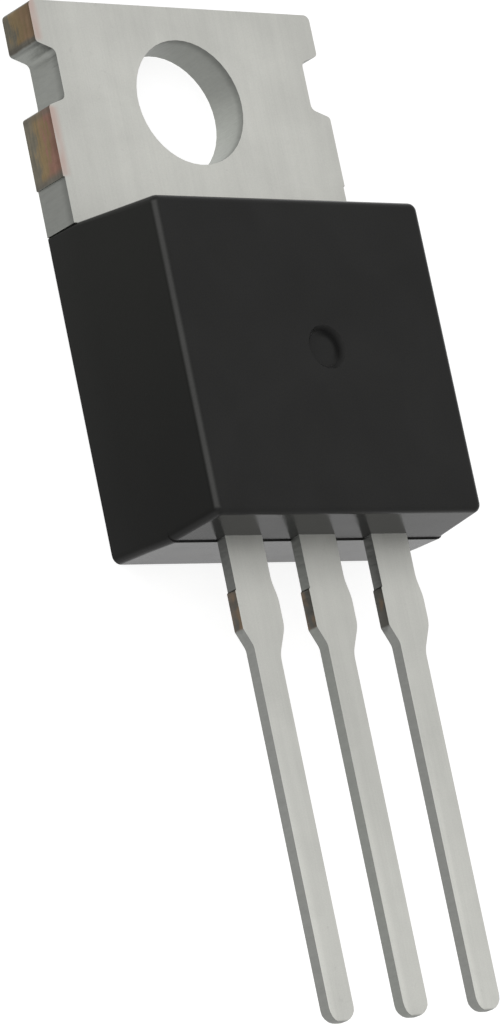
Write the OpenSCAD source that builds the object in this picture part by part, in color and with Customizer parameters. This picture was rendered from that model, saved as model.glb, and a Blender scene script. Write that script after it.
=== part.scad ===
// Three-lead linear voltage regulator in a single-gauge tab package.
//
// The part lies on its back. The origin is the centre of the mounting hole on
// the back face of the tab, +Z points out of the front face, +Y runs to the
// tab's end and the leads run towards -Y. All lengths are in millimetres.

/* [Tab] */
// Width of the tab across its plated sides
tab_w = 9.8; // [9.6:0.05:12.0]
// Thickness of the tab
tab_t = 1.25; // [1.0:0.05:1.5]
// Length of the tab left outside the moulding
tab_out = 6.43; // [6.0:0.01:8.0]
// Distance from the hole's centre to the end of the tab
hole_to_end = 2.8; // [2.6:0.05:3.4]
// Diameter of the mounting hole
hole_d = 3.65; // [3.0:0.05:4.2]
// Radius of the tab's outer corners
tab_corner_r = 0.18; // [0.1:0.01:0.3]
// Length of the upper ear along each side of the tab
ear_len = 1.22; // [1.0:0.02:1.4]
// Length of the side notch at its mouth
notch_len = 1.84; // [1.7:0.02:2.2]
// Depth of the side notch
notch_in = 0.56; // [0.4:0.02:0.7]
// Run of the notch's slanted ends along the side
notch_slant = 0.22; // [0.2:0.01:0.45]
// Length of the sheared tie bar stub below the notch
tie_len = 2.05; // [1.6:0.05:2.2]
// Height of the sheared stubs over the plated side
tie_proud = 0.05; // [0.03:0.01:0.08]

/* [Moulding] */
// Height of the moulding from its lowest edge to the tab
body_h = 9.35; // [8.8:0.05:11.0]
// Thickness of the moulding from the back face to the front face
body_t = 4.35; // [4.2:0.05:5.3]
// How far the moulding's back stands in from each plated side of the tab
body_inset = 0.01; // [0.0:0.01:0.2]
// How far each side wall leans in from the tab's front face to the moulding's
side_draft = 0.26; // [0.1:0.02:0.4]
// How far the top wall leans in from the tab's front face to the moulding's
top_draft = 0.28; // [0.1:0.02:0.4]
// How far the bottom wall leans in from the parting line to the back face
back_draft = 0.12; // [0.05:0.01:0.25]
// How far the bottom wall leans in from the parting line to the front face
front_draft = 0.13; // [0.05:0.01:0.25]
// Step between the two mould halves along the bottom parting line
parting_step = 0.04; // [0.02:0.01:0.12]
// Radius of the edges round the front face
edge_r = 0.2; // [0.1:0.01:0.25]
// Extra radius of the four corner edges over that of the front edges
corner_more = 0.05; // [0.04:0.01:0.1]
// Radius of the two upper corner edges at the back
corner_back_r = 0.06; // [0.04:0.01:0.2]
// Diameter of the ejector pin mark in the front face
pin_mark_d = 1.25; // [1.0:0.05:2.0]
// Width of the pin mark's sloping rim
pin_mark_rim = 0.12; // [0.1:0.02:0.3]
// Depth of the ejector pin mark
pin_mark_deep = 0.14; // [0.03:0.01:0.2]
// Pin mark's centre to the right of the middle of the front face
pin_mark_right = 0.3; // [-1.0:0.05:1.0]
// Pin mark's centre above the middle of the moulding's height
pin_mark_up = 0.15; // [-1.0:0.05:1.0]

/* [Leads] */
// Pitch of the three leads
pitch = 2.54; // [2.5:0.01:3.0]
// Thickness of the leads
lead_t = 0.38; // [0.36:0.02:0.6]
// Height of the leads' back face over the back of the tab
lead_z = 2.33; // [2.2:0.01:2.6]
// Length of the leads below the moulding
lead_len = 13.2; // [8.0:0.1:16.0]
// Width of the thin part of each lead
pin_w = 0.84; // [0.6:0.02:0.96]
// Width of each lead where it leaves the moulding
root_w = 1.26; // [1.1:0.02:1.4]
// Distance from the moulding to the sheared dam bar stubs
stub_from = 1.45; // [1.0:0.05:1.8]
// Length of the dam bar stubs
stub_len = 1.05; // [0.7:0.05:1.2]
// Height of the right stub over the lead's root
stub_right = 0.12; // [0.08:0.01:0.18]
// Height of the left stub over the lead's root
stub_left = 0.04; // [0.02:0.01:0.06]
// Length over which a lead narrows below its right stub
neck_right = 0.75; // [0.6:0.05:1.2]
// Length over which a lead narrows below its left stub
neck_left = 0.5; // [0.4:0.05:1.2]
// Length of the coined taper at each lead's tip
tip_len = 0.25; // [0.2:0.05:1.2]
// Thickness left at the very tip
tip_t = 0.28; // [0.14:0.02:0.3]

/* [Heat sink inside the moulding] */
// Length of moulding left below the die pad
pad_foot = 2.95; // [2.8:0.05:3.4]
// Width of moulding beside the die pad in the back face
pad_wall = 0.93; // [0.8:0.02:1.2]
// Overhang of the pad's locking ledges on each side
ledge = 0.32; // [0.2:0.02:0.36]
// Height of the locking ledges over the back face
ledge_z = 0.5; // [0.4:0.05:0.7]
// Depth of the two locking grooves across the pad
groove_deep = 0.16; // [0.1:0.02:0.2]
// Distance from the moulding's top wall to the first locking groove
groove_from = 0.7; // [0.5:0.05:0.8]
// Spacing of the locking grooves
groove_gap = 0.8; // [0.5:0.05:0.9]
// Flat stretch of the centre lead between the pad and its bend
bend_run = 0.35; // [0.3:0.05:0.5]
// Length over which the centre lead climbs from the pad
bend_rise_run = 1.2; // [1.0:0.05:1.3]
// Inner radius of the centre lead's bends
bend_r = 0.3; // [0.2:0.05:0.3]

/* [Lead posts inside the moulding] */
// Length of a post along the lead
post_len = 1.6; // [1.3:0.05:1.8]
// Gap between a post and the centre lead
post_gap = 0.55; // [0.4:0.05:0.7]
// Width of moulding outside a post at the front face
post_wall = 0.55; // [0.4:0.05:0.8]
// Length of the lead's root inside the moulding
root_in = 0.95; // [0.8:0.05:1.2]
// Diameter of the anchor hole in each post
anchor_d = 0.7; // [0.5:0.05:0.8]

/* [Die and wires] */
// Width of the die
die_w = 2.8; // [2.0:0.1:3.4]
// Length of the die along the part
die_len = 2.4; // [2.0:0.1:2.8]
// Thickness of the die
die_t = 0.28; // [0.2:0.02:0.4]
// Thickness of the solder under the die
solder_t = 0.05; // [0.03:0.01:0.1]
// Width of solder that shows round the die
solder_rim = 0.15; // [0.08:0.01:0.25]
// Distance from the pad's lower end to the middle of the die
die_up = 2.7; // [2.6:0.05:3.0]
// Diameter of the bond wires
wire_d = 0.25; // [0.15:0.01:0.3]
// Rise of a long wire over the straight line between its ends
loop_rise = 0.75; // [0.5:0.05:0.9]
// Rise of the short ground wire
ground_rise = 0.5; // [0.4:0.05:0.6]

/* [Hidden] */
$fn = 48;
tinned = "#b9bab5";
mould = "#2b2b2b";
silicon = "#6d7480";
solder = "#9a9ca0";
aluminium = "#d5d7da";
over = 0.5;              // overshoot of a cutter past the face it cuts
arc_steps = 5;           // straight steps in a rounded corner
edge_steps = 6;          // straight steps in the rounding round the front face

tab_end = hole_to_end;
body_top = tab_end - tab_out;
body_bottom = body_top - body_h;
lead_end = body_bottom - lead_len;
notch_top = tab_end - ear_len;
notch_bottom = notch_top - notch_len;
tie_bottom = notch_bottom - tie_len;
body_w = tab_w - 2 * body_inset;
pad_w = body_w - 2 * pad_wall;
pad_end = body_bottom + pad_foot;
lead_front = lead_z + lead_t;
root_top = body_bottom + root_in;
post_near = root_w / 2 + post_gap;
post_far = body_w / 2 - side_draft - post_wall;
die_y = pad_end + die_up;
die_z = tab_t + solder_t;
die_top = die_z + die_t;
foot_len = wire_d * 2.4;
foot_w = wire_d * 1.5;
foot_t = wire_d * 0.8;

// The centre lead climbs from the pad between two equal bends.
bend_turn = atan2(lead_z - (tab_t - lead_t), bend_rise_run);
bend_low = pad_end - bend_run;
bend_high = bend_low - bend_rise_run;
bend_shift = lead_t * tan(bend_turn / 2);
bend_end = bend_high - bend_shift - (bend_r + lead_t) * tan(bend_turn / 2) - 0.05;

// ---- plane outlines with rounded corners -------------------------------

function unit(v) = v / norm(v);
function turn(a) = a > 180 ? a - 360 : a < -180 ? a + 360 : a;

// Points of the corner at b between a and c, rounded by radius r.
function corner(a, b, c, r) =
    let (u = unit(a - b), v = unit(c - b), half = acos(u * v) / 2)
    r <= 0 ? [b] :
    let (mid = b + unit(u + v) * r / sin(half),
         p = b + u * r / tan(half) - mid,
         q = b + v * r / tan(half) - mid,
         start = atan2(p.y, p.x),
         sweep = turn(atan2(q.y, q.x) - start))
    [for (i = [0 : arc_steps]) let (t = start + sweep * i / arc_steps) mid + r * [cos(t), sin(t)]];

// Points of a closed outline through corners given as [x, y, radius].
function rounded_points(corners) =
    let (n = len(corners), flat = [for (c = corners) [c.x, c.y]])
    [for (i = [0 : n - 1])
        each corner(flat[(i + n - 1) % n], flat[i], flat[(i + 1) % n], corners[i].z)];

module rounded(corners) {
    polygon(rounded_points(corners));
}

// Both halves of an outline that is the same left and right of x = 0, given
// by its right half from top to bottom.
function both_sides(right) =
    concat(right, [for (i = [len(right) - 1 : -1 : 0]) [-right[i].x, right[i].y, right[i].z]]);

module rounded_box(size, centre, r) {
    x = size.x / 2;
    y = size.y / 2;
    translate(centre) rounded([[x, y, r], [x, -y, r], [-x, -y, r], [-x, y, r]]);
}

// Stands a sheet drawn in Y and Z up across X, centred on x = 0.
module across(width) {
    translate([-width / 2, 0, 0]) rotate([90, 0, 90]) linear_extrude(width) children();
}

// ---- leads ---------------------------------------------------------------

// Plan of one lead below the moulding, with its trimmed dam bar stubs.
module lead_plan(top) {
    root = root_w / 2;
    pin = pin_w / 2;
    stub_top = body_bottom - stub_from;
    stub_low = stub_top - stub_len;
    right = root + stub_right;
    left = -root - stub_left;
    swell = 0.25;
    rounded([
        [root, top, 0],
        [root, stub_top + swell, 1.2],
        [right, stub_top - swell, 1.2],
        [right, stub_low, 0.8],
        [pin, stub_low - neck_right, 0.8],
        [pin, lead_end, pin * 0.9],
        [-pin, lead_end, pin * 0.9],
        [-pin, stub_low - neck_left, 0.4],
        [left, stub_low, 0.1],
        [left, stub_top, 0],
        [-root, stub_top + stub_left, 0],
        [-root, top, 0]]);
}

// Side view of a lead: flat strip with a tip coined thin from both faces.
module lead_side(top) {
    low = lead_z;
    mid = lead_z + lead_t / 2;
    rounded([
        [top, low, 0],
        [lead_end + tip_len, low, 0.4],
        [lead_end, mid - tip_t / 2, tip_t * 0.4],
        [lead_end, mid + tip_t / 2, tip_t * 0.4],
        [lead_end + tip_len, lead_front, 0.4],
        [top, lead_front, 0]]);
}

module lead_blade(top) {
    intersection() {
        translate([0, 0, lead_z - over]) linear_extrude(lead_t + 2 * over) lead_plan(top);
        across(root_w + 2 * over) lead_side(top);
    }
}

// Outer lead on one side: blade outside, root and wire post inside.
module outer_lead(side) {
    post = [post_far - post_near, post_len];
    middle = [side * (post_far + post_near) / 2, root_top + post_len / 2];
    hole_x = side * (post_far - anchor_d);
    color(tinned) difference() {
        union() {
            translate([side * pitch, 0, 0]) lead_blade(root_top + over / 2);
            translate([0, 0, lead_z]) linear_extrude(lead_t) rounded_box(post, middle, 0.2);
        }
        translate([hole_x, middle.y, lead_z - over]) cylinder(d = anchor_d, h = lead_t + 2 * over);
    }
}

// ---- heat sink -------------------------------------------------------------

// Exposed tab with the two notches and the sheared tie bar stubs.
module tab_plan() {
    side = tab_w / 2;
    cut = side + tie_proud;
    in = side - notch_in;
    rounded(both_sides([
        [cut, tab_end, tab_corner_r],
        [cut, notch_top, 0.12],
        [in, notch_top - notch_slant, 0.2],
        [in, notch_bottom + notch_slant, 0.2],
        [cut, notch_bottom, 0.12],
        [cut, tie_bottom, 0],
        [side, tie_bottom, 0],
        [side, body_top, 0]]));
}

// Die pad: narrow where it shows in the back, wider above its ledges.
module die_pad() {
    size = [pad_w, body_top + over - pad_end];
    middle = [0, pad_end + size.y / 2];
    linear_extrude(tab_t) rounded_box(size, middle, 0.3);
    translate([0, 0, ledge_z]) linear_extrude(tab_t - ledge_z)
        rounded_box(size + [2 * ledge, 0], middle, 0.3);
}

// V groove across the pad that keeps the moulding from lifting.
module lock_groove(y) {
    across(tab_w)
        polygon([[y - groove_deep, tab_t], [y, tab_t - groove_deep], [y + groove_deep, tab_t],
                 [y + groove_deep, tab_t + over], [y - groove_deep, tab_t + over]]);
}

// Side view of the strip that climbs from the pad to the centre lead.
module bend_side() {
    rounded([
        [pad_end + over, tab_t - lead_t, 0],
        [bend_low, tab_t - lead_t, bend_r + lead_t],
        [bend_high, lead_z, bend_r],
        [bend_end, lead_z, 0],
        [bend_end, lead_front, 0],
        [bend_high - bend_shift, lead_front, bend_r + lead_t],
        [bend_low - bend_shift, tab_t, bend_r],
        [pad_end + over, tab_t, 0]]);
}

module heat_sink_tab() {
    color(tinned) difference() {
        union() {
            linear_extrude(tab_t) tab_plan();
            die_pad();
            across(root_w) bend_side();
            lead_blade(bend_end);
        }
        translate([0, 0, -over]) cylinder(d = hole_d, h = tab_t + 2 * over, $fn = 96);
        for (i = [0, 1]) lock_groove(body_top - groove_from - i * groove_gap);
    }
}

module input_lead() outer_lead(-1);

module output_lead() outer_lead(1);

// ---- die and bond wires ------------------------------------------------------

module solder_layer() {
    color(solder) translate([0, 0, tab_t]) linear_extrude(solder_t)
        rounded_box([die_w, die_len] + 2 * solder_rim * [1, 1], [0, die_y], 0.2);
}

module regulator_die() {
    color(silicon) translate([0, 0, die_z]) linear_extrude(die_t)
        rounded_box([die_w, die_len], [0, die_y], 0);
}

// Flattened end of a bond wire, lying along the wire's heading.
module wire_foot(p, heading) {
    translate(p) rotate([0, 0, heading]) linear_extrude(foot_t)
        rounded_box([foot_len, foot_w], [0, 0], foot_w * 0.4);
}

// Bond wire from p to q: a foot at each end and one round loop between them.
module bond_wire(p, q, rise) {
    lift = wire_d * 0.47;
    flat = norm([q.x - p.x, q.y - p.y]);
    chord = norm([flat, q.z - p.z]);
    r = (chord * chord / 4 + rise * rise) / (2 * rise);
    half = asin(chord / 2 / r);
    heading = atan2(q.y - p.y, q.x - p.x);
    tilt = atan2(q.z - p.z, flat);
    color(aluminium) {
        wire_foot(p, heading);
        wire_foot(q, heading);
        translate(p + [0, 0, lift]) rotate([0, 0, heading]) rotate([0, -tilt, 0])
            translate([chord / 2, 0, rise - r]) rotate([90, 0, 0])
                rotate_extrude(angle = 2 * half, start = 90 - half)
                    translate([r, 0]) circle(d = wire_d);
    }
}

// Wire from the die's lower corner to the lead post on one side.
module post_wire(side) {
    bond_wire([side * die_w * 0.3, die_y - die_len * 0.3, die_top],
              [side * (post_near + pitch) / 2, root_top + post_len * 0.65, lead_front], loop_rise);
}

module input_wire() post_wire(-1);

module output_wire() post_wire(1);

module ground_wire() {
    bond_wire([0, die_y - die_len * 0.3, die_top],
              [0, (die_y - die_len / 2 + pad_end) / 2 - 0.2, tab_t], ground_rise);
}

// ---- moulding -------------------------------------------------------------------

// Solid through closed rings of points, each ring counterclockwise from above.
module loft(rings) {
    n = len(rings[0]);
    last = len(rings) - 1;
    polyhedron(
        [for (ring = rings) each ring],
        concat(
            [[for (j = [0 : n - 1]) j]],
            [for (i = [0 : last - 1], j = [0 : n - 1]) let (k = (j + 1) % n)
                [i * n + j, (i + 1) * n + j, (i + 1) * n + k, i * n + k]],
            [[for (j = [n - 1 : -1 : 0]) last * n + j]]));
}

// Outline of the moulding at height z, with its lowest edge at y0. The side
// and top walls stand straight beside the tab and lean in above it.
function mould_ring(z, y0, inset = 0) =
    let (r = edge_r + corner_more - inset,
         r1 = r - (edge_r + corner_more - corner_back_r) * (1 - z / body_t),
         lean = max(0, z - tab_t) / (body_t - tab_t),
         x = body_w / 2 - side_draft * lean - inset,
         y1 = body_top - top_draft * lean - inset,
         low = y0 + inset)
    [for (p = rounded_points([[x, low, r], [x, y1, r1], [-x, y1, r1], [-x, low, r]]))
        [p.x, p.y, z]];

// The two mould halves meet at the back of the leads, a small step apart.
module mould_form() {
    step = body_bottom + parting_step;
    loft([for (z = [0, tab_t, lead_z])
        mould_ring(z, body_bottom + back_draft * (1 - z / lead_z))]);
    loft(concat(
        [mould_ring(lead_z, step)],
        [for (i = [0 : edge_steps]) let (a = 90 * i / edge_steps)
            mould_ring(body_t - edge_r * (1 - sin(a)), step + front_draft, edge_r * (1 - cos(a)))]));
}

// Shallow dish with a sloping rim, its mouth at z = 0.
module pin_mark() {
    translate([0, 0, -pin_mark_deep])
        cylinder(d1 = pin_mark_d - 2 * pin_mark_rim, d2 = pin_mark_d + 2 * pin_mark_rim,
                 h = 2 * pin_mark_deep);
}

module moulded_body() {
    color(mould) difference() {
        mould_form();
        heat_sink_tab();
        input_lead();
        output_lead();
        solder_layer();
        regulator_die();
        input_wire();
        output_wire();
        ground_wire();
        translate([pin_mark_right, (body_top + body_bottom) / 2 + pin_mark_up, body_t])
            pin_mark();
    }
}

moulded_body();
heat_sink_tab();
input_lead();
output_lead();
solder_layer();
regulator_die();
input_wire();
output_wire();
ground_wire();
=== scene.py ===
"""Voltage regulator in a three-lead tab package: camera, light, materials and edge rounding.

Numbers are millimetres in the part's frame unless a comment says otherwise: the tab's hole
is at the origin, the leads run towards -Y and the front faces +Z.
"""

import bpy
from mathutils import Matrix, Vector

MM = 0.001
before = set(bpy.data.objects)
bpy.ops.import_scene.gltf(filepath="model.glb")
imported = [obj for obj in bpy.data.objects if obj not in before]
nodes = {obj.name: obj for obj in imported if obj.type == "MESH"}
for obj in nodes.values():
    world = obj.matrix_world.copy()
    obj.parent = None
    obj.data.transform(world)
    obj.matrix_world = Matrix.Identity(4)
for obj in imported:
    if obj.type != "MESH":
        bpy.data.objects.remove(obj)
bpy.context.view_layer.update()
scene = bpy.context.scene


# ---- camera --------------------------------------------------------------------

# fitted to the photo's corners and edges at a lead pitch of 2.54
CAMERA_AT = Vector((-103.081, -49.121, 120.386)) * MM
CAMERA_RIGHT = Vector((0.77382, -0.19806, 0.60164))
CAMERA_DOWN = Vector((-0.00712, -0.95252, -0.30441))
LENS = 210.62
SENSOR = 36.0
CLIP = 10 * MM, 5.0      # metres


def make_camera():
    data = bpy.data.cameras.new("camera")
    data.sensor_fit = "AUTO"
    data.sensor_width = SENSOR
    data.lens = LENS
    data.clip_start, data.clip_end = CLIP
    cam = bpy.data.objects.new("camera", data)
    scene.collection.objects.link(cam)
    right = CAMERA_RIGHT.normalized()
    back = right.cross(-CAMERA_DOWN).normalized()
    up = back.cross(right)
    turn = Matrix((right, up, back)).transposed().to_4x4()
    cam.matrix_world = Matrix.Translation(CAMERA_AT) @ turn
    scene.camera = cam


# ---- node helpers --------------------------------------------------------------


class Tree:
    """Builds one node tree; positions are in millimetres in the part's frame."""

    def __init__(self, name, world=None):
        if world is None:
            self.owner = bpy.data.materials.new(name)
        else:
            self.owner = world
        self.owner.use_nodes = True
        self.tree = self.owner.node_tree
        self.tree.nodes.clear()
        self.place = None

    def node(self, kind, props=(), **sockets):
        n = self.tree.nodes.new("ShaderNode" + kind)
        for key, value in dict(props).items():
            setattr(n, key, value)
        for key, value in sockets.items():
            self.feed(n.inputs[key.replace("_", " ")], value)
        return n

    def feed(self, socket, value):
        if isinstance(value, bpy.types.NodeSocket):
            self.tree.links.new(value, socket)
        elif isinstance(value, (tuple, list)) and socket.type == "RGBA" and len(value) == 3:
            socket.default_value = (*value, 1.0)
        else:
            socket.default_value = value

    def feed_all(self, n, values, first=0):
        """Feeds the values to the node's inputs in turn, and returns the node."""
        for i, value in enumerate(values, first):
            self.feed(n.inputs[i], value)
        return n

    def math(self, op, a, b=0.0):
        return self.feed_all(self.node("Math", {"operation": op}), (a, b)).outputs[0]

    def fold(self, op, values):
        out = values[0]
        for v in values[1:]:
            out = self.math(op, out, v)
        return out

    def product(self, *values):
        return self.fold("MULTIPLY", values)

    def most(self, *values):
        return self.fold("MAXIMUM", values)

    def total(self, *values):
        return self.fold("ADD", values)

    def absolute(self, value):
        return self.math("ABSOLUTE", value)

    def radius(self, a, b):
        return self.math("SQRT", self.total(self.product(a, a), self.product(b, b)))

    def range(self, value, lo, hi, out_lo=0.0, out_hi=1.0):
        """A smooth step from out_lo at lo to out_hi at hi."""
        n = self.node("MapRange", {"interpolation_type": "SMOOTHSTEP"})
        return self.feed_all(n, (value, lo, hi, out_lo, out_hi)).outputs[0]

    def band(self, value, rise, fall):
        """1 between two ramps, each given as where it is 0 and where it is 1."""
        return self.product(self.range(value, *rise), self.range(value, *fall))

    def line(self, noise, out_lo, out_hi):
        """A straight line from out_lo to out_hi over the span that the noise mostly fills."""
        return self.feed_all(self.node("MapRange"), (noise, *NOISE_SPAN, out_lo, out_hi)).outputs[0]

    def mix(self, factor, a, b):
        """Colour a at factor 0, colour b at 1."""
        n = self.node("Mix", {"data_type": "RGBA"})
        self.feed(n.inputs[0], factor)
        return self.feed_all(n, (a, b), MIX_COLOURS).outputs[2]

    def blend(self, factor, a, b):
        """Number a at factor 0, number b at 1."""
        n = self.node("Mix", {"data_type": "FLOAT"})
        self.feed(n.inputs[0], factor)
        return self.feed_all(n, (a, b), MIX_NUMBERS).outputs[0]

    def shade(self, colour, tone):
        """Colour times a grey tone."""
        n = self.node("Mix", {"data_type": "RGBA", "blend_type": "MULTIPLY"})
        grey = self.node("CombineColor", Red=tone, Green=tone, Blue=tone).outputs[0]
        self.feed(n.inputs[0], 1.0)
        return self.feed_all(n, (colour, grey), MIX_COLOURS).outputs[2]

    def position(self):
        """The point's place in millimetres."""
        if self.place is None:
            n = self.node("TexCoord")
            m = self.node("Mapping", Vector=n.outputs["Object"])
            m.inputs["Scale"].default_value = [1 / MM] * 3
            self.place = m.outputs[0]
            split = self.node("SeparateXYZ", Vector=self.place)
            self.x, self.y, self.z = split.outputs
        return self.place

    def facing(self):
        """Splits the normal: how much the surface faces each axis."""
        n = self.node("NewGeometry")
        return self.node("SeparateXYZ", Vector=n.outputs["Normal"]).outputs

    def noise(self, size, detail=2.0, rough=0.5, stretch=(1, 1, 1), shift=0.0, warp=0.0):
        """Noise about 0.5 whose grains are size mm across, longer along an axis by its stretch."""
        m = self.node("Mapping", Vector=self.position())
        m.inputs["Scale"].default_value = [1 / (size * s) for s in stretch]
        m.inputs["Location"].default_value = (shift, shift * 1.7, shift * 0.6)
        n = self.node("TexNoise", Vector=m.outputs[0], Scale=1.0, Detail=detail, Roughness=rough,
                      Distortion=warp)
        return n.outputs["Fac"]

    def bump(self, height, distance, normal=None):
        n = self.node("Bump", Height=height, Distance=distance * MM)
        if normal is not None:
            self.feed(n.inputs["Normal"], normal)
        return n.outputs[0]

    def finish(self, shader, kind="OutputMaterial"):
        self.tree.links.new(shader.outputs[0], self.node(kind).inputs[0])
        return self.owner

    def principled(self, **sockets):
        return self.finish(self.node("BsdfPrincipled", **sockets))


NOISE_SPAN = 0.3, 0.7
MIX_NUMBERS, MIX_COLOURS = 2, 6      # first of the Mix node's A and B sockets


# ---- materials -----------------------------------------------------------------

PITCH = 2.54
TAB_SIDE, TAB_EDGE = 4.9, 4.925     # plated side, and past it the sheared stubs
TAB_END, TAB_T = 2.8, 1.25
EAR_LOW = 1.58                      # lower end of the ear
TIE_TOP, TIE_LOW = -0.26, -2.31     # the tie bar stub
HOLE_REACH = 2.2, 2.0               # radii between which the hole's wall takes over
BODY_TOP, BODY_LOW = -3.6, -12.98
ROOT_HALF = 0.63                    # half of the lead's width above its shoulders
STUB_TOP, STUB_LOW = -14.43, -15.48          # the dam bar stubs
PIN_TOP, PIN_LOW = -17, -25         # the straight pins, above their tips
MARK_X, MARK_Y, MARK_R = 0.3, -8.155, 0.625  # centre and mouth of the ejector pin mark

# the cut colours are darker than the tin, partly for rougher stamped metal and partly as painted
# shade
TAB_TIN, TAB_CUT_SHADED = (0.735, 0.737, 0.692), (0.211, 0.217, 0.203)
LEAD_TIN, LEAD_CUT_SHADED = (0.7, 0.702, 0.66), (0.243, 0.247, 0.235)
THIN_TIN = (0.66, 0.49, 0.435)
COPPER_BACK, COPPER_GOLD = (0.165, 0.152, 0.118), (0.225, 0.165, 0.088)
COPPER_RED, COPPER_DULL = (0.22, 0.122, 0.092), (0.13, 0.12, 0.1)
STUB_GREY, STUB_BROWN = (0.088, 0.085, 0.076), (0.15, 0.112, 0.078)
# the side walls' colour, the second here, is darker than the front's as painted shade
EPOXY, EPOXY_SHADED_SIDE = (0.0205, 0.0205, 0.02), (0.0085, 0.0088, 0.0075)
# a painted highlight for the upright rounded edges
EPOXY_EDGE_HIGHLIGHT = (0.056, 0.056, 0.054)
EPOXY_GLOSS = 0.1
SOLDER, SILICON, WIRE = (0.42, 0.42, 0.43), (0.16, 0.18, 0.22), (0.7, 0.7, 0.72)


def streaks(t):
    """Lines and clouds of rolled and tinned strip, as a tone about 1 and as a height."""
    lines = t.noise(0.07, 3, 0.6, (1, 60, 1))
    broad = t.noise(0.5, 2, 0.5, (1, 14, 1), 3.1)
    cloud = t.noise(1.6, 3, 0.55, shift=7.7, warp=0.4)
    grain = t.noise(0.035, 2, 0.6, shift=1.3)
    spots = t.noise(0.22, 2, 0.5, shift=5.9)
    tone = t.total(1.0, t.line(lines, -0.025, 0.025), t.line(broad, -0.025, 0.025),
                   t.line(cloud, -0.04, 0.04), t.line(grain, -0.03, 0.03),
                   t.range(spots, 0.66, 0.8, 0, -0.05))
    rough = t.total(t.line(lines, 0.36, 0.44), t.line(cloud, -0.04, 0.04))
    height = t.total(t.product(lines, 0.5), t.product(broad, 0.5))
    return tone, rough, height, grain


def metal(name, flat, cut, copper, flat_tone, cut_tone, tint=None):
    """Matt tin over rolled copper: its flat faces, its cut sides and its bare sheared faces.

    copper(t) gives the sheared faces as a mask and a colour, flat_tone(t) and cut_tone(t, face)
    how light the other two are, and tint(t, face) where the tin is thin. The cut sides are darker
    than the tin, partly for their rougher stamped metal and partly as painted shade.
    """
    t = Tree(name)
    t.position()
    face = t.facing()
    up = t.absolute(face[2])
    edge = t.range(up, 0.9, 0.45)
    tone, rough, height, grain = streaks(t)
    # painted shade just below the moulding, and a painted highlight along the left edge of each pin
    painted_shade_under_body = t.band(t.y, (BODY_LOW - 1.7, BODY_LOW - 0.5), (BODY_LOW + 1, BODY_LOW))
    middle = t.product(PITCH, t.math("ROUND", t.product(t.x, 1 / PITCH)))
    rolled = t.product(t.range(t.math("SUBTRACT", t.x, middle), -0.14, -0.34),
                       t.range(t.y, PIN_TOP, PIN_TOP - 5))
    colour = t.shade(flat, t.product(tone, flat_tone(t), t.blend(painted_shade_under_body, 1.0, 0.84),
                                     t.blend(rolled, 1.0, 1.1)))
    if tint:
        colour = t.mix(tint(t, face), colour, THIN_TIN)
    # cut sides: shear lines through the thickness, rougher towards one face, and darker partly as
    # painted shade
    shear = t.noise(0.09, 3, 0.6, (1, 1, 9), 2.2)
    torn = t.noise(0.2, 4, 0.65, (1, 1, 1.6), 9.4)
    cut_lines = t.total(t.line(shear, 0.965, 1.035), t.line(torn, -0.1, 0.1))
    colour = t.mix(edge, colour, t.shade(cut, t.product(cut_lines, cut_tone(t, face))))
    bare, bare_colour = copper(t)
    colour = t.mix(t.product(bare, t.range(up, 0.75, 0.4)), colour, bare_colour)
    rough = t.blend(edge, rough, t.line(torn, 0.42, 0.58))
    normal = t.bump(height, 0.004)
    normal = t.bump(grain, 0.0025, normal)
    normal = t.bump(t.product(t.total(shear, torn), edge), 0.01, normal)
    return t.principled(Base_Color=colour, Metallic=1.0, Roughness=rough, Normal=normal)


def sheared(t, dull_end, redness):
    """Bare copper drawn by the shear: streaks along the strip, golden in the middle and
    dull at the back and at the ends, reddish where the punch came in."""
    run = t.noise(0.12, 3, 0.6, (1, 7, 0.8), 4.4, 0.3)
    patch = t.noise(0.45, 2, 0.5, (1, 1.6, 1), 2.7)
    across = t.total(t.math("DIVIDE", t.z, TAB_T), t.line(run, -0.18, 0.18),
                     t.line(patch, -0.2, 0.2))
    colour = t.mix(t.range(across, 0.12, 0.45), COPPER_BACK, COPPER_GOLD)
    colour = t.mix(t.product(redness, t.range(across, 0.5, 0.8)), colour, COPPER_RED)
    colour = t.mix(dull_end, colour, COPPER_DULL)
    edge = t.range(t.z, TAB_T - 0.22, TAB_T - 0.04, 1.0, 0.78)
    return t.shade(colour, t.product(edge, t.line(run, 0.76, 1.04), t.line(patch, 0.93, 1.07)))


def tab_copper(t):
    """The ear and the tie bar stub, sheared after plating."""
    out = t.range(t.absolute(t.x), TAB_EDGE - 0.03, TAB_EDGE + 0.005)
    rag = t.line(t.noise(0.35, 2, 0.5, shift=6.1), -0.02, 0.02)
    y = t.total(t.y, rag)
    ear = t.range(y, EAR_LOW - 0.02, EAR_LOW + 0.05)
    tie = t.band(y, (TIE_LOW - 0.04, TIE_LOW + 0.02), (TIE_TOP + 0.03, TIE_TOP - 0.03))
    low = t.range(y, TIE_LOW + 0.3, TIE_LOW + 0.05)
    high = t.product(t.range(y, TIE_TOP - 0.3, TIE_TOP - 0.1), 0.6)
    end = t.band(y, (0.5, 0.6), (EAR_LOW + 0.25, EAR_LOW + 0.1))
    dull_end = t.most(low, t.product(high, tie), end)
    colour = t.shade(sheared(t, dull_end, t.blend(ear, 1.0, 0.35)), t.blend(ear, 1.0, 0.8))
    return t.product(out, t.most(ear, tie)), colour


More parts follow.
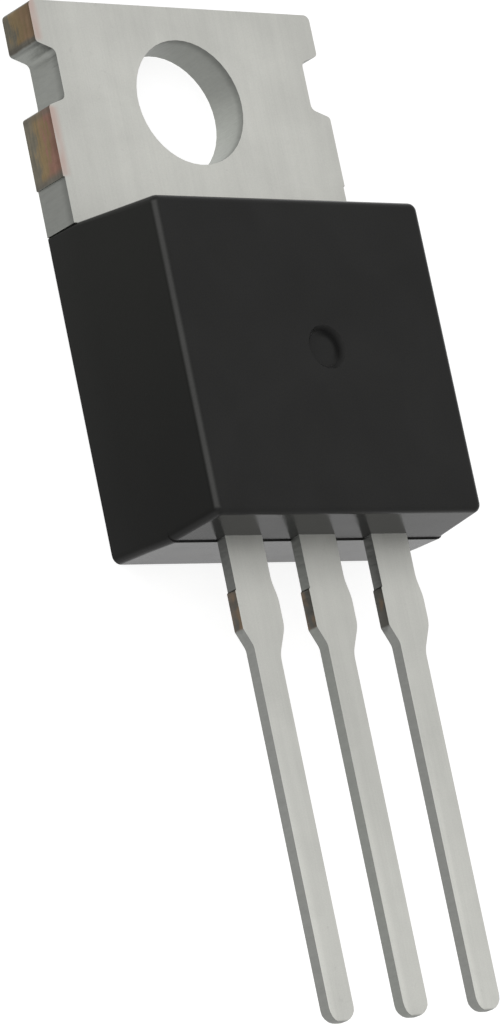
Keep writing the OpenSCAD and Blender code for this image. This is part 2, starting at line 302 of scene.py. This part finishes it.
def stub_copper(t):
    """The dam bar stubs on both sides of each lead, patchy grey and brown, browner on the first
    lead.
    """
    x = t.math("PINGPONG", t.x, PITCH / 2)
    out = t.range(x, ROOT_HALF + 0.005, ROOT_HALF + 0.03)
    y = t.band(t.y, (STUB_LOW - 0.04, STUB_LOW + 0.03), (STUB_TOP + 0.05, STUB_TOP))
    brown = t.noise(0.4, 2, 0.5, (1, 1.5, 1), 3.3)
    first = t.range(t.x, -1.6, -2.2, -0.08, 0.12)
    colour = t.mix(t.range(t.total(brown, first), 0.46, 0.66), STUB_GREY, STUB_BROWN)
    return t.product(out, y), colour


def all_copper(t):
    tab, tab_colour = tab_copper(t)
    stub, stub_colour = stub_copper(t)
    return t.most(tab, stub), t.mix(stub, tab_colour, stub_colour)


def lead_tone(t):
    """A little lighter towards the tips."""
    return t.range(t.y, PIN_TOP, PIN_LOW, 1.0, 1.09)


def tab_tone(t):
    """The tab is darker towards its borders and the moulding, and the centre lead darker above its
    tip.
    """
    border = t.product(t.range(t.absolute(t.x), 3.2, TAB_SIDE, 1.0, 0.93),
                       t.range(t.y, 0.8, TAB_END, 1.0, 0.95),
                       t.range(t.y, -2.2, BODY_TOP, 1.0, 0.95))
    # the change from one to the other is hidden in the moulding
    return t.blend(t.range(t.y, -9, -8), t.range(t.y, PIN_TOP, PIN_LOW, 0.91, 1.01), border)


def tab_tint(t, face):
    """Thin tin over the rolled front edge of the sheared faces."""
    near = t.range(t.x, 0.3 - TAB_SIDE, 0.02 - TAB_SIDE)
    ear = t.range(t.y, EAR_LOW - 0.05, EAR_LOW + 0.15)
    tie = t.band(t.y, (TIE_LOW - 0.05, TIE_LOW + 0.1), (TIE_TOP + 0.05, TIE_TOP - 0.1))
    wear = t.range(t.noise(0.4, 2, 0.5, (1, 3, 1), 8.2), 0.3, 0.6, 0.35, 0.8)
    return t.product(near, t.range(face[2], 0.3, 0.6), t.most(ear, tie), wear)


def lead_sides(t, face):
    """The lead's cut sides are darker between the moulding and the stubs, partly for resin flash on
    bare metal and partly as painted shade.
    """
    painted_light_term = t.total(t.y, t.line(t.noise(0.3, 2, 0.5, shift=1.9), -0.12, 0.12))
    # painted shade: the outer leads' sides darker there than the centre lead's
    root = t.range(t.absolute(t.x), 1.2, 0.9, 0.6, 0.85)
    return t.blend(t.range(painted_light_term, STUB_LOW - 0.12, STUB_LOW + 0.12), 1.0, root)


def tab_sides(t, face):
    """The punched notches and the hole are painted lighter than the long plated sides, and all of
    them are darker towards the front face.
    """
    on_tab = t.range(t.y, BODY_TOP - 0.1, BODY_TOP)
    inward = t.range(t.absolute(t.x), TAB_SIDE - 0.05, TAB_SIDE - 0.15)
    # painted light: the notch faces lighter, more where they slant
    slant = t.range(t.absolute(face[1]), 0.2, 0.6, 1.22, 1.4)
    notch = t.blend(t.product(inward, on_tab), 1.0, slant)
    # painted light: the hole's inside lighter, most towards its lower right
    painted_light_term = t.range(t.total(t.product(t.y, -0.7), t.product(t.x, 0.7)), 0.6, 1.9, 1.37, 2.1)
    hole = t.blend(t.range(t.radius(t.x, t.y), *HOLE_REACH), notch, painted_light_term)
    front = t.range(t.z, TAB_T - 0.35, TAB_T - 0.02, 1.0, 0.72)
    # painted light: the centre lead's sides lighter than the outer leads' painted shade
    return t.product(t.blend(on_tab, t.product(1.58, lead_sides(t, face)), hole), front)


def mark_masks(t):
    """The pin mark as a whole, and a painted shadow at the foot of its upper right slope."""
    dx, dy = t.math("SUBTRACT", t.x, MARK_X), t.math("SUBTRACT", t.y, MARK_Y)
    away = t.radius(dx, dy)
    mark = t.range(away, MARK_R + 0.15, MARK_R + 0.1)
    ring = t.band(away, (MARK_R - 0.36, MARK_R - 0.2), (MARK_R, MARK_R - 0.14))
    turn = t.math("DIVIDE", t.total(t.product(dx, 0.84), t.product(dy, 0.54)), MARK_R)
    return mark, t.product(ring, t.range(turn, -0.1, 0.6))


def mould_compound():
    """Fine matt grain of black epoxy, with painted shade on its side walls, a painted highlight in
    grey along its upright rounded edges and a painted shadow in the pin mark.
    """
    t = Tree("mould_compound")
    t.position()
    face = [t.absolute(n) for n in t.facing()]
    mark, mark_shadow = mark_masks(t)
    # painted highlight: grey along the upright rounded edges only, and not in the pin mark
    painted_light_term = t.product(t.range(t.most(*face), 0.998, 0.77), t.range(face[1], 0.4, 0.1),
                     t.math("SUBTRACT", 1.0, mark))
    grain = t.noise(0.05, 3, 0.6)
    coarse = t.noise(0.14, 2, 0.5, shift=2.0)
    cloud = t.noise(2.2, 3, 0.5, shift=5.0, warp=0.5)
    wipe = t.noise(0.5, 3, 0.55, (5, 1, 1), 8.0, 0.3)
    tone = t.total(t.line(cloud, 0.92, 1.08), t.line(grain, -0.08, 0.08))
    # painted shade: the side walls darker than the front, and darker still towards the bottom
    shaded_side = t.shade(EPOXY_SHADED_SIDE, t.range(t.y, -4.5, BODY_LOW, 1.1, 0.5))
    colour = t.mix(t.range(face[0], 0.7, 0.95), EPOXY, shaded_side)
    colour = t.mix(painted_light_term, colour, EPOXY_EDGE_HIGHLIGHT)
    # painted shadow darkens the pin mark's upper right
    colour = t.shade(colour, t.product(tone, t.blend(mark_shadow, 1.0, 0.4)))
    graze = t.node("LayerWeight", Blend=0.5).outputs["Facing"]
    rough = t.total(t.line(cloud, -0.03, 0.03), t.line(wipe, -0.02, 0.02),
                    t.range(graze, 0.4, 0.85, 0.34, 0.15))
    height = t.total(t.product(grain, 0.6), t.product(coarse, 0.4))
    return t.principled(Base_Color=colour, Roughness=t.blend(mark_shadow, rough, 0.7),
                        Specular_IOR_Level=EPOXY_GLOSS, Normal=t.bump(height, 0.003))


def inner_material(name, colour, metallic, rough):
    """A plain grain for the pieces sealed in the moulding."""
    t = Tree(name)
    grain = t.noise(0.05, 3, 0.6)
    cloud = t.noise(0.4, 2, 0.5, shift=3.0)
    spread = t.total(t.product(grain, 0.5), t.product(cloud, 0.5))
    mixed = t.mix(t.range(spread, 0.35, 0.65), tuple(c * 0.85 for c in colour), colour)
    return t.principled(Base_Color=mixed, Metallic=metallic,
                        Roughness=t.line(grain, rough * 0.85, rough * 1.15),
                        Normal=t.bump(grain, 0.003))


# ---- pieces --------------------------------------------------------------------

TAB_ROUND, LEAD_ROUND = 0.06, 0.03
ROUND_STEPS = 3
SHARP = 0.5              # radians; a sharper turn is an edge
COPLANAR = 0.005         # radians
SAME_POINT = 1e-7        # metres
OUTER_LEADS = "input_lead", "output_lead"
WIRES = "input_wire", "output_wire", "ground_wire"


def clean_mesh(obj):
    """Joins the split vertices and the coplanar triangles, as modifiers."""
    obj.modifiers.new("weld", "WELD").merge_threshold = SAME_POINT
    flat = obj.modifiers.new("flatten", "DECIMATE")
    flat.decimate_type = "DISSOLVE"
    flat.angle_limit = COPLANAR


def round_edges(obj, width):
    """Rounds the sharp edges without touching the mesh itself."""
    clean_mesh(obj)
    bevel = obj.modifiers.new("edges", "BEVEL")
    bevel.width = width * MM
    bevel.segments = ROUND_STEPS
    bevel.limit_method = "ANGLE"
    bevel.angle_limit = SHARP
    bevel.use_clamp_overlap = True
    obj.modifiers.new("shade", "WEIGHTED_NORMAL").keep_sharp = False


def smooth_edges(obj):
    """Shades the rounded edges smooth and leaves the sharp ones sharp."""
    clean_mesh(obj)
    group = bpy.data.node_groups.new("smooth_by_angle", "GeometryNodeTree")
    for side in ("INPUT", "OUTPUT"):
        group.interface.new_socket("Geometry", in_out=side, socket_type="NodeSocketGeometry")
    new, link = group.nodes.new, group.links.new
    start, end = new("NodeGroupInput"), new("NodeGroupOutput")
    turn, sharp = new("GeometryNodeInputMeshEdgeAngle"), new("FunctionNodeCompare")
    sharp.data_type, sharp.operation = "FLOAT", "GREATER_THAN"
    sharp.inputs[1].default_value = SHARP
    faces, edges = new("GeometryNodeSetShadeSmooth"), new("GeometryNodeSetShadeSmooth")
    faces.domain, edges.domain = "FACE", "EDGE"
    faces.inputs["Shade Smooth"].default_value = True
    edges.inputs["Shade Smooth"].default_value = False
    link(start.outputs[0], faces.inputs["Geometry"])
    link(faces.outputs[0], edges.inputs["Geometry"])
    link(turn.outputs[0], sharp.inputs[0])
    link(sharp.outputs[0], edges.inputs["Selection"])
    link(edges.outputs[0], end.inputs[0])
    obj.modifiers.new("smooth", "NODES").node_group = group
    obj.modifiers.new("shade", "WEIGHTED_NORMAL").keep_sharp = True


def paint(material, *names):
    for name in names:
        for slot in nodes[name].material_slots:
            slot.material = material


def make_pieces():
    paint(metal("tab_metal", TAB_TIN, TAB_CUT_SHADED, all_copper, tab_tone, tab_sides, tab_tint),
          "heat_sink_tab")
    paint(metal("lead_metal", LEAD_TIN, LEAD_CUT_SHADED, stub_copper, lead_tone, lead_sides), *OUTER_LEADS)
    paint(mould_compound(), "moulded_body")
    paint(inner_material("solder_paste", SOLDER, 1.0, 0.45), "solder_layer")
    paint(inner_material("silicon", SILICON, 0.0, 0.2), "regulator_die")
    paint(inner_material("drawn_wire", WIRE, 1.0, 0.25), *WIRES)
    smooth_edges(nodes["moulded_body"])
    round_edges(nodes["heat_sink_tab"], TAB_ROUND)
    for name in OUTER_LEADS:
        round_edges(nodes[name], LEAD_ROUND)


# ---- floor, light --------------------------------------------------------------

FLOOR_HALF = 2.0         # metres
FLOOR_Z = -0.02
PAPER = (0.39, 0.39, 0.388), (0.41, 0.41, 0.408)
PAPER_GLOW = 0.8         # what the camera, the gloss and the glass rays see on top of the paper
ROOM_GLOW = 0.71
KEY_AT, KEY_TO = (-185, 52, 160), (0, -8, 2)
KEY_SIZE, KEY_WATTS = 330, 0.22
WHITE = (1, 1, 1)


def make_floor():
    mesh = bpy.data.meshes.new("floor")
    corners = [(x * FLOOR_HALF, y * FLOOR_HALF, 0) for x, y in ((-1, -1), (1, -1), (1, 1), (-1, 1))]
    mesh.from_pydata(corners, [], [(0, 1, 2, 3)])
    floor = bpy.data.objects.new("floor", mesh)
    floor.location.z = FLOOR_Z * MM
    scene.collection.objects.link(floor)
    t = Tree("floor_paper")
    diffuse = t.node("BsdfDiffuse", Color=t.mix(t.range(t.noise(0.6, 3, 0.6), *NOISE_SPAN), *PAPER))
    path = t.node("LightPath").outputs
    rays = [path["Is %s Ray" % kind] for kind in ("Camera", "Glossy", "Transmission")]
    glow = t.node("Emission", Color=WHITE, Strength=t.product(t.most(*rays), PAPER_GLOW))
    both = t.feed_all(t.node("AddShader"), (diffuse.outputs[0], glow.outputs[0]))
    mesh.materials.append(t.finish(both))


def make_light():
    scene.world = bpy.data.worlds.new("room")
    t = Tree("room", scene.world)
    t.finish(t.node("Background", Color=WHITE, Strength=ROOM_GLOW), "OutputWorld")
    data = bpy.data.lights.new("key", "AREA")
    data.shape = "RECTANGLE"
    data.size = data.size_y = KEY_SIZE * MM
    data.energy = KEY_WATTS
    key = bpy.data.objects.new("key", data)
    at, towards = Vector(KEY_AT) * MM, Vector(KEY_TO) * MM
    turn = (towards - at).to_track_quat("-Z", "Y").to_matrix().to_4x4()
    key.matrix_world = Matrix.Translation(at) @ turn
    key.visible_camera = False
    scene.collection.objects.link(key)


make_camera()
make_light()
make_floor()
make_pieces()
scene.view_settings.view_transform = "Standard"
